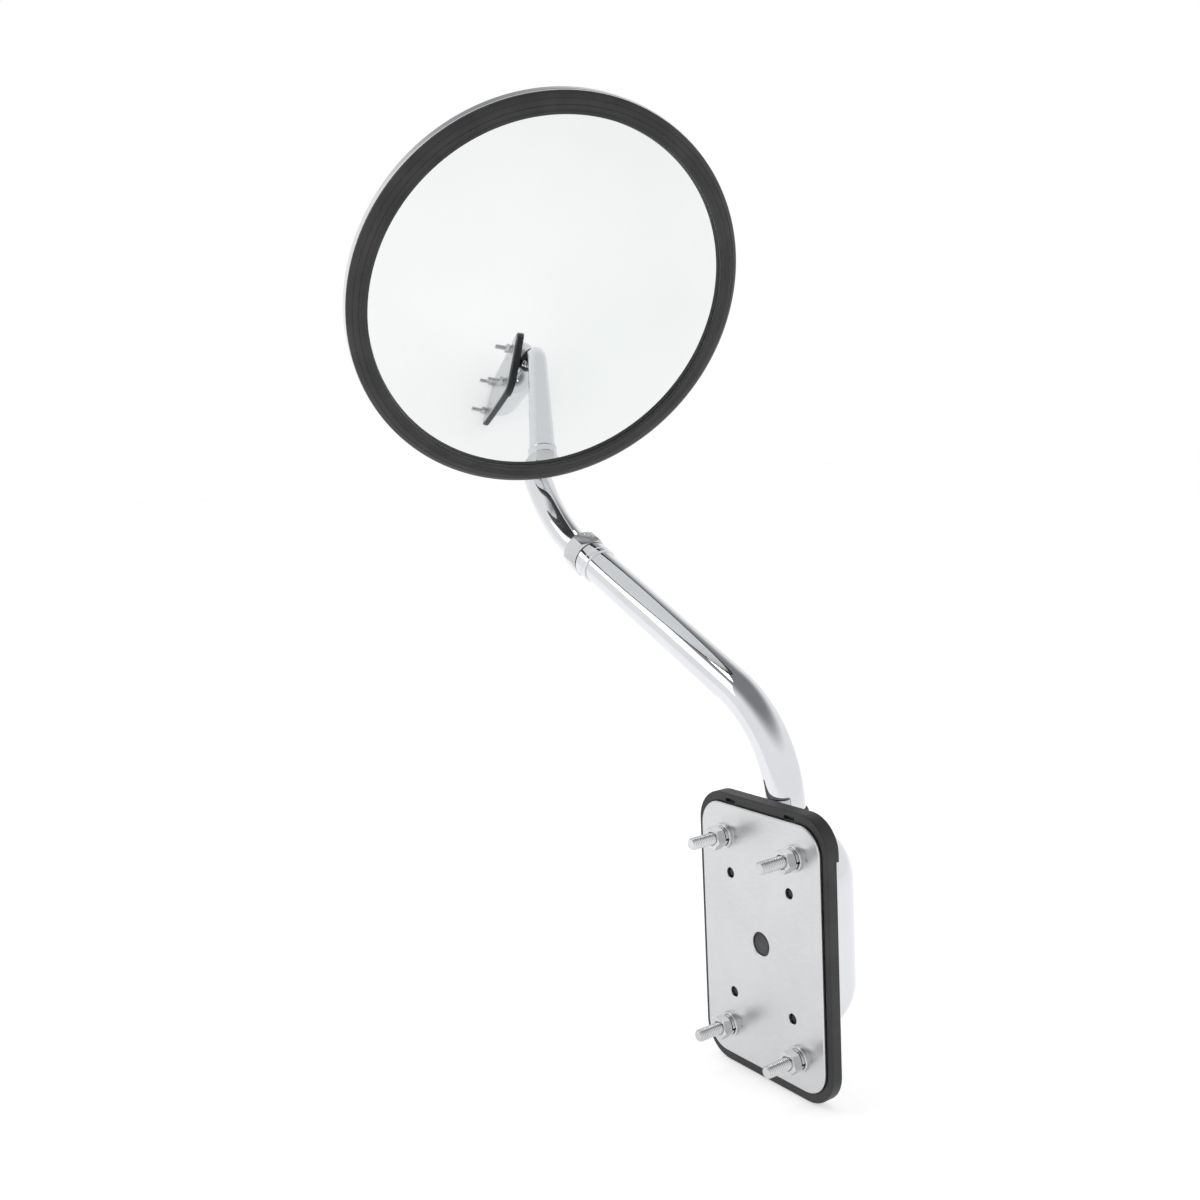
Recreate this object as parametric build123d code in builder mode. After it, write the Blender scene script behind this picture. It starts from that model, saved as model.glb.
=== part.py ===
from build123d import *
import os
from math import sin, cos, tan, radians, sqrt, pi

os.makedirs("parts", exist_ok=True)

# Frame: +Z up, +Y outboard (away from the vehicle panel), studs point to -Y.
# The origin is the middle of the mount plate's front face.  All sizes in mm.

# ---- mount plate and rubber ----
plate_w, plate_h, plate_t = 80.5, 127.25, 3.0
plate_mid = 0.625
plate_corner = 13.0
stud_dx, stud_dz = 48.0, 96.0
stud_d, stud_out = 6.0, 21.0
screw_dx, screw_dz = 40.4, 60.4
screw_d = 5.0
hole_d = 11.4
lip_front = 1.6
rubber_back = 7.6
rubber_side = 3.4
rubber_top = 4.7
rubber_bottom = 5.2
groove = 0.6
groove_back = 2.4
hood_back = 9.1
hood_from = 49.0
flange_in = 0.8
flange_t = 1.0

# ---- cover ----
dome_w = 83.0
dome_z0, dome_z1 = -40.5, 61.5
dome_back = 35.0
dome_corner = 27.0
dome_round = 24.0
dome_wall = 1.2

# ---- arm path ----
arm_y = 19.0
arm_bottom = 8.0
bend_start_z = 61.0
lower_bend_r = 63.0
lean = 63.4
straight_len = 132.0
upper_bend_r = 60.0
upper_bend = 85.16
upper_twist = -11.21
upper_start = 14.5
upper_straight = 83.6
insert_len = 96.0

lower_od, lower_id = 19.05, 16.65
upper_od, upper_id = 15.9, 13.5

# ---- head ----
face_az, face_el = -13.76, -30.07
ball_depth = 24.0
stud_reach = 20.0
ball_r = 10.0
rim_r = 106.4
view_r = 96.1
glass_r = 99.0
glass_curve = 600.0
glass_t = 3.0
bowl_back = 28.0
flat_r = 33.0

# directions that follow from the path
up = Vector(0, 0, 1)
out_dir = Vector(-1, 0, 0)
arm_dir = up * cos(radians(lean)) + out_dir * sin(radians(lean))
bend_end = Vector(0, arm_y, bend_start_z) + up * (lower_bend_r * sin(radians(lean))) \
    + out_dir * (lower_bend_r * (1 - cos(radians(lean))))
arm_top = bend_end + arm_dir * straight_len
rise = (up - arm_dir * up.dot(arm_dir)).normalized()
cross = arm_dir.cross(rise)
bend_dir = rise * cos(radians(upper_twist)) + cross * sin(radians(upper_twist))
tip_dir = arm_dir * cos(radians(upper_bend)) + bend_dir * sin(radians(upper_bend))
curve_start = arm_top + arm_dir * upper_start
curve_end = curve_start + arm_dir * (upper_bend_r * sin(radians(upper_bend))) \
    + bend_dir * (upper_bend_r * (1 - cos(radians(upper_bend))))
tip = curve_end + tip_dir * upper_straight
face = Vector(cos(radians(face_el)) * cos(radians(face_az)),
              cos(radians(face_el)) * sin(radians(face_az)), sin(radians(face_el)))
rear = face * -1
stud_dir = (rear - tip_dir * rear.dot(tip_dir)).normalized()
ball = tip - stud_dir * stud_reach
head_centre = ball - rear * ball_depth

arm_line = Plane(origin=arm_top, x_dir=rise, z_dir=arm_dir)
lower_plane = Plane(origin=(0, arm_y, 0), x_dir=(-1, 0, 0), z_dir=(0, 1, 0))
upper_plane = Plane(origin=arm_top, x_dir=arm_dir, z_dir=arm_dir.cross(bend_dir))
# local Z of the head frame runs backwards from the rim plane, local X roughly upwards
head_x = (up - rear * up.dot(rear)).normalized()
head = Plane(origin=head_centre, x_dir=head_x, z_dir=rear)
# profiles of the head are drawn as (radius, depth) and spun round the head axis
head_cut = Plane(origin=head_centre, x_dir=head_x, z_dir=head_x.cross(rear))
head_axis = Axis(origin=head_centre, direction=rear)
stud_plane = Plane(origin=ball, x_dir=tip_dir, z_dir=stud_dir)
stud_cut = Plane(origin=ball, x_dir=tip_dir, z_dir=tip_dir.cross(stud_dir))
stud_axis = Axis(origin=ball, direction=stud_dir)
arm_cut = Plane(origin=arm_top, x_dir=rise, z_dir=rise.cross(arm_dir))
arm_axis = Axis(origin=arm_top, direction=arm_dir)
base_cut = Plane(origin=(0, arm_y, 0), x_dir=(1, 0, 0), z_dir=(0, -1, 0))
base_axis = Axis(origin=(0, arm_y, 0), direction=(0, 0, 1))


def back_from(y):
    """Sketch plane facing +Y at depth y, local x to the left, local y up."""
    return Plane(origin=(0, y, 0), x_dir=(-1, 0, 0), z_dir=(0, 1, 0))


def save(piece, name, colour):
    piece.part.label = name
    piece.part.color = Color(*colour)
    export_step(piece.part, "parts/" + name + ".step")


def corners(dx, dz):
    return [(sx * dx / 2, sz * dz / 2) for sx in (-1, 1) for sz in (-1, 1)]


def thread_rings(outer, pitch, start, stop):
    """Depths of shallow grooves that stand for a thread between two stations."""
    count = int((stop - start) / pitch)
    return [start + pitch * (i + 0.5) for i in range(count)]


steel = (0.72, 0.73, 0.75)
chrome = (0.86, 0.87, 0.89)
rubber = (0.10, 0.10, 0.11)
nylon = (0.85, 0.84, 0.78)
zinc = (0.62, 0.64, 0.66)

# =================================================================== base
with BuildPart() as mount_plate:
    with BuildSketch(back_from(0)):
        with Locations((0, plate_mid)):
            RectangleRounded(plate_w, plate_h, plate_corner)
        with Locations(*corners(stud_dx, stud_dz)):
            Circle(stud_d / 2, mode=Mode.SUBTRACT)
        with Locations(*corners(screw_dx, screw_dz)):
            Circle(screw_d / 2, mode=Mode.SUBTRACT)
        Circle(hole_d / 2, mode=Mode.SUBTRACT)
    extrude(amount=plate_t)
    front = mount_plate.faces().sort_by(Axis.Y)[0]
    chamfer(front.outer_wire().edges(), 0.5)
    for ring in front.inner_wires():
        if ring.length < 30:
            chamfer(ring.edges(), 0.25)
save(mount_plate, "mount_plate", steel)

with BuildPart() as mount_studs:
    for sx, sz in corners(stud_dx, stud_dz):
        with BuildSketch(Plane(origin=(sx, -stud_out, sz), x_dir=(1, 0, 0), z_dir=(0, 1, 0))):
            Circle(stud_d / 2)
        extrude(amount=stud_out + plate_t)
        with BuildSketch(Plane(origin=(sx, plate_t, sz), x_dir=(1, 0, 0), z_dir=(0, 1, 0))):
            Circle(stud_d / 2 + 2)
        extrude(amount=2.2)
    tips = mount_studs.edges().filter_by(GeomType.CIRCLE).group_by(Axis.Y)[0]
    chamfer(tips, 0.8)
    for sx, sz in corners(stud_dx, stud_dz):
        for y in thread_rings(stud_d, 1.0, -stud_out + 0.9, -8.6):
            with BuildSketch(Plane(origin=(sx, y - 0.25, sz), x_dir=(1, 0, 0), z_dir=(0, 1, 0))):
                Circle(stud_d / 2 + 0.2)
                Circle(stud_d / 2 - 0.4, mode=Mode.SUBTRACT)
            extrude(amount=0.5, mode=Mode.SUBTRACT)
save(mount_studs, "mount_studs", zinc)

with BuildPart() as flat_washers:
    with BuildSketch(back_from(-1.5)):
        with Locations(*corners(stud_dx, stud_dz)):
            Circle(6.2)
            Circle(stud_d / 2 + 0.2, mode=Mode.SUBTRACT)
    extrude(amount=1.5)
save(flat_washers, "flat_washers", zinc)

with BuildPart() as lock_washers:
    with BuildSketch(back_from(-3.1)):
        with Locations(*corners(stud_dx, stud_dz)):
            Circle(5.2)
            Circle(stud_d / 2 + 0.15, mode=Mode.SUBTRACT)
        with Locations(*[(x + 4.2, z + 1.0) for x, z in corners(stud_dx, stud_dz)]):
            Rectangle(3.4, 0.8, rotation=24, mode=Mode.SUBTRACT)
    extrude(amount=1.6)
save(lock_washers, "lock_washers", zinc)

with BuildPart() as hex_nuts:
    with BuildSketch(back_from(-8.1)):
        with Locations(*corners(stud_dx, stud_dz)):
            RegularPolygon(5.0, 6, major_radius=False, rotation=12)
    extrude(amount=5.0)
    for sx, sz in corners(stud_dx, stud_dz):
        for y0, y1 in ((-8.1, -6.6), (-3.1, -4.6)):
            with BuildSketch(Plane(origin=(sx, y0, sz), x_dir=(1, 0, 0), z_dir=(0, 1, 0))):
                Circle(8)
                Circle(4.9, mode=Mode.SUBTRACT)
            with BuildSketch(Plane(origin=(sx, y1, sz), x_dir=(1, 0, 0), z_dir=(0, 1, 0))):
                Circle(8)
                Circle(7.4, mode=Mode.SUBTRACT)
            loft(mode=Mode.SUBTRACT)
    with BuildSketch(back_from(-9)):
        with Locations(*corners(stud_dx, stud_dz)):
            Circle(stud_d / 2 + 0.02)
    extrude(amount=7, mode=Mode.SUBTRACT)
save(hex_nuts, "hex_nuts", zinc)

# rubber frame round the plate: shallow groove, side wall, web behind the plate, hood over the flange
frame_w = plate_w + 2 * rubber_side
frame_z0 = plate_mid - plate_h / 2 - rubber_bottom
frame_z1 = plate_mid + plate_h / 2 + rubber_top
frame_mid = (frame_z0 + frame_z1) / 2
frame_h = frame_z1 - frame_z0
frame_corner = plate_corner + rubber_side
flange_back = rubber_back + flange_t
with BuildPart() as base_gasket:
    with BuildSketch(back_from(lip_front)):
        with Locations((0, frame_mid)):
            RectangleRounded(frame_w, frame_h, frame_corner)
    extrude(amount=rubber_back - lip_front)
    outer_front = base_gasket.faces().sort_by(Axis.Y)[0]
    fillet(outer_front.edges(), 0.8)
    with BuildSketch(back_from(lip_front)):
        with Locations((0, plate_mid)):
            RectangleRounded(plate_w + 2 * groove, plate_h + 2 * groove, plate_corner + groove)
    extrude(amount=groove_back - lip_front, mode=Mode.SUBTRACT)
    with BuildSketch(back_from(groove_back)):
        with Locations((0, plate_mid)):
            RectangleRounded(plate_w, plate_h, plate_corner)
    extrude(amount=plate_t - groove_back, mode=Mode.SUBTRACT)
    with BuildSketch(back_from(plate_t)):
        with Locations((0, plate_mid)):
            RectangleRounded(plate_w - 12, plate_h - 12, plate_corner - 6)
    extrude(amount=rubber_back - plate_t, mode=Mode.SUBTRACT)
    # hood that wraps the edge of the upper part of the flange
    with BuildSketch(back_from(rubber_back)):
        with Locations((0, frame_mid)):
            RectangleRounded(frame_w, frame_h, frame_corner)
        with Locations((0, frame_mid)):
            RectangleRounded(frame_w - 2 * flange_in + 0.1, frame_h - 2 * flange_in + 0.1,
                             frame_corner - flange_in + 0.05, mode=Mode.SUBTRACT)
        with Locations((0, hood_from - 100)):
            Rectangle(frame_w + 20, 200, mode=Mode.SUBTRACT)
    extrude(amount=hood_back - rubber_back)
save(base_gasket, "base_gasket", rubber)

dome_mid = (dome_z0 + dome_z1) / 2
dome_h = dome_z1 - dome_z0
with BuildPart() as dome_core:
    with BuildSketch(back_from(flange_back - 3)):
        with Locations((0, dome_mid)):
            RectangleRounded(dome_w - 2 * dome_wall, dome_h - 2 * dome_wall, dome_corner - dome_wall)
    extrude(amount=dome_back - dome_wall - flange_back + 3)
    fillet(dome_core.faces().sort_by(Axis.Y)[-1].edges(), dome_round - dome_wall)

seal_r = 10.9
with BuildPart() as base_housing:
    with BuildSketch(back_from(rubber_back)):
        with Locations((0, dome_mid)):
            RectangleRounded(dome_w, dome_h, dome_corner)
    extrude(amount=dome_back - rubber_back)
    fillet(base_housing.faces().sort_by(Axis.Y)[-1].edges(), dome_round)
    with BuildSketch(back_from(rubber_back)):
        with Locations((0, frame_mid)):
            RectangleRounded(frame_w - 2 * flange_in, frame_h - 2 * flange_in,
                             frame_corner - flange_in)
    extrude(amount=flange_t)
    add(dome_core.part, mode=Mode.SUBTRACT)
    # web that the bracket ears clamp, with a window for the pivot boss
    with BuildSketch(back_from(rubber_back)):
        with Locations((0, 5)):
            RectangleRounded(68, 100, 10)
            RectangleRounded(31, 90, 5, mode=Mode.SUBTRACT)
        with Locations(*corners(screw_dx, screw_dz)):
            Circle(screw_d / 2 + 0.25, mode=Mode.SUBTRACT)
    extrude(amount=flange_t)
    with BuildSketch(Plane.XY.offset(48)):
        with Locations((0, arm_y)):
            Circle(seal_r)
    extrude(amount=20, mode=Mode.SUBTRACT)
save(base_housing, "base_housing", chrome)

with BuildPart() as tube_seal:
    with BuildSketch(base_cut):
        with BuildLine():
            Polyline((lower_od / 2 + 0.1, 49.5), (seal_r, 49.5), (seal_r, 62.6),
                     (seal_r - 0.5, 63.2), (lower_od / 2 + 0.1, 63.2), close=True)
        make_face()
    revolve(axis=base_axis)
save(tube_seal, "tube_seal", rubber)

with BuildPart() as clamp_spacers:
    with BuildSketch(back_from(plate_t)):
        with Locations(*corners(screw_dx, screw_dz)):
            Circle(4.6)
            Circle(screw_d / 2 + 0.25, mode=Mode.SUBTRACT)
    extrude(amount=rubber_back - plate_t)
save(clamp_spacers, "clamp_spacers", zinc)

boss_r, boss_z0, boss_z1 = 13.2, 10.0, 43.0
bush_r = 11.2
ear_t = 5.0
with BuildPart() as arm_bracket:
    with BuildSketch(Plane.XY.offset(boss_z0)):
        with Locations((0, arm_y)):
            Circle(boss_r)
    extrude(amount=boss_z1 - boss_z0)
    with BuildSketch(back_from(flange_back)):
        with Locations(*corners(screw_dx, screw_dz)):
            Circle(6.2)
        Rectangle(28, 72.8)
        with Locations((0, screw_dz / 2), (0, -screw_dz / 2)):
            Rectangle(screw_dx, 12.4)
    extrude(amount=ear_t)
    # side ribs tie the boss to the ears
    with BuildSketch(back_from(flange_back + ear_t)):
        with Locations((10.5, 24), (-10.5, 24)):
            Rectangle(4, 36)
    extrude(amount=6)
    with BuildSketch(Plane.XY.offset(boss_z0 - 60)):
        with Locations((0, arm_y)):
            Circle(boss_r + 1.2)
    extrude(amount=60, mode=Mode.SUBTRACT)
    with BuildSketch(Plane.XY.offset(boss_z1)):
        with Locations((0, arm_y)):
            Circle(boss_r + 1.2)
    extrude(amount=40, mode=Mode.SUBTRACT)
    with BuildSketch(Plane.XY.offset(boss_z0)):
        with Locations((0, arm_y)):
            Circle(bush_r)
    extrude(amount=boss_z1 - boss_z0, mode=Mode.SUBTRACT)
    with BuildSketch(back_from(flange_back)):
        with Locations(*corners(screw_dx, screw_dz)):
            Circle(screw_d / 2 + 0.25)
    extrude(amount=ear_t, mode=Mode.SUBTRACT)
save(arm_bracket, "arm_bracket", zinc)

with BuildPart() as bracket_screws:
    for sx, sz in corners(screw_dx, screw_dz):
        y_head = flange_back + ear_t
        with BuildSketch(Plane(origin=(sx, 0.9, sz), x_dir=(1, 0, 0), z_dir=(0, 1, 0))):
            Circle(screw_d / 2)
        extrude(amount=plate_t - 0.9)
        with BuildSketch(Plane(origin=(sx, plate_t, sz), x_dir=(1, 0, 0), z_dir=(0, 1, 0))):
            Circle(screw_d / 2 - 0.05)
        extrude(amount=y_head - plate_t)
        with BuildSketch(Plane(origin=(sx, y_head, sz), x_dir=(1, 0, 0), z_dir=(0, 1, 0))):
            Circle(4.25)
        extrude(amount=4.6)
        with BuildSketch(Plane(origin=(sx, y_head + 2.0, sz), x_dir=(1, 0, 0), z_dir=(0, 1, 0))):
            RegularPolygon(2.0, 6, major_radius=False)
        extrude(amount=2.7, mode=Mode.SUBTRACT)
save(bracket_screws, "bracket_screws", (0.12, 0.12, 0.13))

with BuildPart() as pivot_bush:
    with BuildSketch(Plane.XY.offset(boss_z0)):
        with Locations((0, arm_y)):
            Circle(bush_r)
            Circle(lower_od / 2 + 0.04, mode=Mode.SUBTRACT)
    extrude(amount=boss_z1 - boss_z0)
save(pivot_bush, "pivot_bush", nylon)

with BuildPart() as hole_plug:
    with BuildSketch(back_from(0.7)):
        Circle(hole_d / 2)
    extrude(amount=plate_t - 0.7)
    with BuildSketch(back_from(plate_t)):
        Circle(hole_d / 2 + 1.8)
    extrude(amount=1.0)
    with BuildSketch(back_from(0.7)):
        Circle(3.9)
        Circle(3.3, mode=Mode.SUBTRACT)
    extrude(amount=0.5, mode=Mode.SUBTRACT)
save(hole_plug, "hole_plug", rubber)

# ============================================================== lower arm
with BuildPart() as lower_arm:
    with BuildLine(lower_plane):
        Line((0, arm_bottom), (0, bend_start_z))
        JernArc(start=(0, bend_start_z), tangent=(0, 1), radius=lower_bend_r, arc_size=-lean)
        PolarLine(start=(lower_bend_r * (1 - cos(radians(lean))),
                         bend_start_z + lower_bend_r * sin(radians(lean))),
                  length=straight_len - 3.0, angle=90 - lean)
    with BuildSketch(Plane.XY.offset(arm_bottom)):
        with Locations((0, arm_y)):
            Circle(lower_od / 2)
            Circle(lower_id / 2, mode=Mode.SUBTRACT)
    sweep()
save(lower_arm, "lower_arm", chrome)

with BuildPart() as arm_fitting:
    with BuildSketch(arm_cut):
        with BuildLine():
            Polyline((lower_od / 2, -9.5), (10.1, -9.5), (10.5, -9.1), (10.5, -0.4), (10.1, 0),
                     (9.1, 0), (9.1, 7.6), (8.9, 8.0), (8.75, 8.0), (8.1, 5.6), (8.1, -3.0),
                     (lower_od / 2, -3.0), close=True)
        make_face()
    revolve(axis=arm_axis)
save(arm_fitting, "arm_fitting", chrome)

with BuildPart() as pivot_plug:
    with BuildSketch(base_cut):
        with BuildLine():
            Polyline((0, -15.5), (5.4, -15.5), (6, -14.9), (6, 6.0), (lower_od / 2 - 0.2, 6.0),
                     (lower_od / 2 - 0.2, 8.0), (lower_id / 2, 8.0), (lower_id / 2, 27), (7.6, 28),
                     (0, 28), close=True)
        make_face()
    revolve(axis=base_axis)
save(pivot_plug, "pivot_plug", steel)

with BuildPart() as thrust_collar:
    with BuildSketch(base_cut):
        with BuildLine():
            Polyline((lower_od / 2, 43.3), (12.4, 43.3), (12.4, 46.9), (11.9, 47.4),
                     (lower_od / 2, 47.4), close=True)
        make_face()
    revolve(axis=base_axis)
save(thrust_collar, "thrust_collar", steel)

with BuildPart() as friction_washer:
    with BuildSketch(Plane.XY.offset(boss_z0 - 1.6)):
        with Locations((0, arm_y)):
            Circle(12.4)
            Circle(lower_od / 2 + 0.04, mode=Mode.SUBTRACT)
    extrude(amount=1.55)
save(friction_washer, "friction_washer", nylon)

coil_r, wire_r = 10.2, 1.15
with BuildPart() as friction_spring:
    with BuildLine():
        Helix(pitch=3.2, height=8.6, radius=coil_r, center=(0, arm_y, -1.45))
    with BuildSketch(Plane(origin=(coil_r, arm_y, -1.45), x_dir=(1, 0, 0), z_dir=(0, 1, 0))):
        Circle(wire_r)
    sweep(is_frenet=True)
save(friction_spring, "friction_spring", steel)

with BuildPart() as spring_washer:
    with BuildSketch(Plane.XY.offset(-4.7)):
        with Locations((0, arm_y)):
            Circle(12.4)
            Circle(6.2, mode=Mode.SUBTRACT)
    extrude(amount=2.0)
save(spring_washer, "spring_washer", zinc)

with BuildPart() as pivot_nut:
    with BuildSketch(Plane.XY.offset(-14.2)):
        with Locations((0, arm_y)):
            RegularPolygon(9.0, 6, major_radius=False)
            Circle(6.0, mode=Mode.SUBTRACT)
    extrude(amount=9.5)
save(pivot_nut, "pivot_nut", zinc)

# ========================================================= telescopic clamp
nut_len, nut_af = 14.0, 21.0
with BuildPart() as compression_nut:
    with BuildSketch(Plane(origin=arm_top + arm_dir * 0.3, x_dir=rise, z_dir=arm_dir)):
        RegularPolygon(nut_af / 2, 6, major_radius=False, rotation=18)
    extrude(amount=nut_len - 0.3)
    with BuildSketch(arm_cut):
        with BuildLine():
            Polyline((9.0, nut_len), (14, nut_len), (14, nut_len - 5.4), (12.4, nut_len - 4.6),
                     close=True)
        make_face()
        with BuildLine():
            Polyline((10.6, 0.3), (14, 0.3), (14, 1.7), close=True)
        make_face()
        with BuildLine():
            Polyline((0, 0), (9.12, 0), (9.12, 8.6), (8.9, 10.6), (8.1, 12.4), (8.1, 15), (0, 15),
                     close=True)
        make_face()
    revolve(axis=arm_axis, mode=Mode.SUBTRACT)
save(compression_nut, "compression_nut", chrome)

with BuildPart() as ferrule:
    with BuildSketch(arm_cut):
        with BuildLine():
            Polyline((upper_od / 2 + 0.03, 5.9), (8.14, 5.9), (8.74, 8.2), (8.74, 10.4),
                     (8.3, 11.6), (upper_od / 2 + 0.03, 11.9), close=True)
        make_face()
    revolve(axis=arm_axis)
    with BuildSketch(Plane(origin=arm_top + arm_dir * 5, x_dir=rise, z_dir=arm_dir)):
        with Locations((-10, 0)):
            Rectangle(8, 1.2)
    extrude(amount=8, mode=Mode.SUBTRACT)
save(ferrule, "ferrule", (0.78, 0.62, 0.32))

# ============================================================== upper arm
flat_w, flat_t = 22.0, 6.0
flat_from = 66.0
press_from = 48.0
with BuildPart() as upper_arm:
    with BuildLine(upper_plane):
        Line((-insert_len, 0), (upper_start, 0))
        JernArc(start=(upper_start, 0), tangent=(1, 0), radius=upper_bend_r, arc_size=upper_bend)
        PolarLine(start=(upper_start + upper_bend_r * sin(radians(upper_bend)),
                         upper_bend_r * (1 - cos(radians(upper_bend)))),
                  length=press_from, angle=upper_bend)
    with BuildSketch(Plane(origin=arm_top - arm_dir * insert_len, x_dir=rise, z_dir=arm_dir)):
        Circle(upper_od / 2)
        Circle(upper_id / 2, mode=Mode.SUBTRACT)
    sweep()
    side = tip_dir.cross(stud_dir)
    with BuildSketch(Plane(origin=curve_end + tip_dir * press_from, x_dir=side, z_dir=tip_dir)):
        Circle(upper_od / 2)
    with BuildSketch(Plane(origin=curve_end + tip_dir * flat_from, x_dir=side, z_dir=tip_dir)):
        RectangleRounded(flat_w, flat_t, 2.6)
    loft()
    with BuildSketch(Plane(origin=curve_end + tip_dir * flat_from, x_dir=side, z_dir=tip_dir)):
        RectangleRounded(flat_w, flat_t, 2.6)
    extrude(amount=upper_straight - flat_from)
    with BuildSketch(Plane(origin=tip - stud_dir * (flat_t / 2), x_dir=tip_dir, z_dir=stud_dir)):
        Circle(flat_w / 2)
    extrude(amount=flat_t)
    with BuildSketch(Plane(origin=tip - stud_dir * flat_t, x_dir=tip_dir, z_dir=stud_dir)):
        Circle(4.1)
    extrude(amount=2 * flat_t, mode=Mode.SUBTRACT)
save(upper_arm, "upper_arm", chrome)

with BuildPart() as end_plug:
    with BuildSketch(arm_cut):
        with BuildLine():
            Polyline((0, -insert_len - 5), (7.7, -insert_len - 5), (8.24, -insert_len - 4.4),
                     (8.24, -insert_len), (upper_id / 2, -insert_len), (upper_id / 2, -insert_len + 11),
                     (6.2, -insert_len + 12), (0, -insert_len + 12), close=True)
        make_face()
    revolve(axis=arm_axis)
save(end_plug, "end_plug", nylon)

half_flat = flat_t / 2
with BuildPart() as ball_stud:
    with BuildSketch(stud_cut):
        with BuildLine():
            Polyline((0, 0), (3.4, 8), (3.4, 13.2), (7, 14.0), (7, stud_reach - half_flat),
                     (4.0, stud_reach - half_flat), (4.0, 34.4), (3.4, 35.0), (0, 35.0), close=True)
        make_face()
    revolve(axis=stud_axis)
    with Locations(Location(ball)):
        Sphere(ball_r)
    for s in thread_rings(8, 1.25, 33.0, 34.6):
        with BuildSketch(Plane(origin=ball + stud_dir * (s - 0.3), x_dir=tip_dir, z_dir=stud_dir)):
            Circle(4.3)
            Circle(3.6, mode=Mode.SUBTRACT)
        extrude(amount=0.6, mode=Mode.SUBTRACT)
save(ball_stud, "ball_stud", steel)

w0 = stud_reach + half_flat
with BuildPart() as stud_washer:
    with BuildSketch(Plane(origin=ball + stud_dir * w0, x_dir=tip_dir, z_dir=stud_dir)):
        Circle(8.2)
        Circle(4.2, mode=Mode.SUBTRACT)
    extrude(amount=1.6)
save(stud_washer, "stud_washer", zinc)

with BuildPart() as stud_lock_washer:
    with BuildSketch(Plane(origin=ball + stud_dir * (w0 + 1.6), x_dir=tip_dir, z_dir=stud_dir)):
        Circle(6.9)
        Circle(4.2, mode=Mode.SUBTRACT)
        with Locations((5.5, 0)):
            Rectangle(4, 0.9, rotation=20, mode=Mode.SUBTRACT)
    extrude(amount=1.8)
save(stud_lock_washer, "stud_lock_washer", zinc)

with BuildPart() as stud_nut:
    with BuildSketch(Plane(origin=ball + stud_dir * (w0 + 3.4), x_dir=tip_dir, z_dir=stud_dir)):
        RegularPolygon(6.5, 6, major_radius=False)
    extrude(amount=6.4)
    with BuildSketch(stud_cut):
        with BuildLine():
            Polyline((6.4, w0 + 9.8), (9, w0 + 9.8), (9, w0 + 8.3), close=True)
        make_face()
    revolve(axis=stud_axis, mode=Mode.SUBTRACT)
    with BuildSketch(Plane(origin=ball + stud_dir * w0, x_dir=tip_dir, z_dir=stud_dir)):
        Circle(4.0)
    extrude(amount=12, mode=Mode.SUBTRACT)
save(stud_nut, "stud_nut", zinc)

# =================================================================== head
def spun(points):
    with BuildPart() as piece:
        with BuildSketch(head_cut):
            with BuildLine():
                Polyline(*points, close=True)
            make_face()
        revolve(axis=head_axis)
    return piece


glass_edge = 0.4
curve_rise = glass_curve - sqrt(glass_curve ** 2 - glass_r ** 2)
with BuildPart() as mirror_glass:
    with BuildSketch(head_cut):
        with BuildLine():
            front_mid = (glass_r / 2, glass_edge - curve_rise
                         + glass_curve - sqrt(glass_curve ** 2 - glass_r ** 2 / 4))
            ThreePointArc((0, glass_edge - curve_rise), front_mid, (glass_r, glass_edge))
            Line((glass_r, glass_edge), (glass_r, glass_edge + glass_t))
            ThreePointArc((glass_r, glass_edge + glass_t), (front_mid[0], front_mid[1] + glass_t),
                          (0, glass_edge - curve_rise + glass_t))
            Line((0, glass_edge - curve_rise + glass_t), (0, glass_edge - curve_rise))
        make_face()
    revolve(axis=head_axis)
save(mirror_glass, "mirror_glass", (0.8, 0.84, 0.86))

pad_t = 1.5
with BuildPart() as backing_pad:
    with BuildSketch(head_cut):
        with BuildLine():
            a0 = glass_edge - curve_rise + glass_t
            a1 = glass_edge + glass_t
            mid = (glass_r / 2, front_mid[1] + glass_t)
            ThreePointArc((0, a0), mid, (glass_r, a1))
            Line((glass_r, a1), (glass_r, a1 + pad_t))
            ThreePointArc((glass_r, a1 + pad_t), (mid[0], mid[1] + pad_t), (0, a0 + pad_t))
            Line((0, a0 + pad_t), (0, a0))
        make_face()
    revolve(axis=head_axis)
save(backing_pad, "backing_pad", (0.2, 0.2, 0.22))

pad_back = glass_edge + glass_t + pad_t
gasket_pts = [(view_r, -2.5), (view_r + 0.8, -3.1), (view_r + 1.7, -2.9), (view_r + 2.2, -2.4),
              (view_r + 3.0, -2.5), (view_r + 5.2, -2.6), (view_r + 7.2, -2.0), (view_r + 9.0, -0.9),
              (rim_r, 0.4), (rim_r, 1.5), (rim_r - 2.6, 1.5), (rim_r - 2.6, pad_back + 1.3),
              (view_r + 1.5, pad_back + 1.3), (view_r + 1.5, pad_back), (glass_r, pad_back),
              (glass_r, glass_edge), (view_r, glass_edge - (glass_r - view_r) * 0.17)]
head_gasket = spun(gasket_pts)
save(head_gasket, "head_gasket", rubber)

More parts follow.
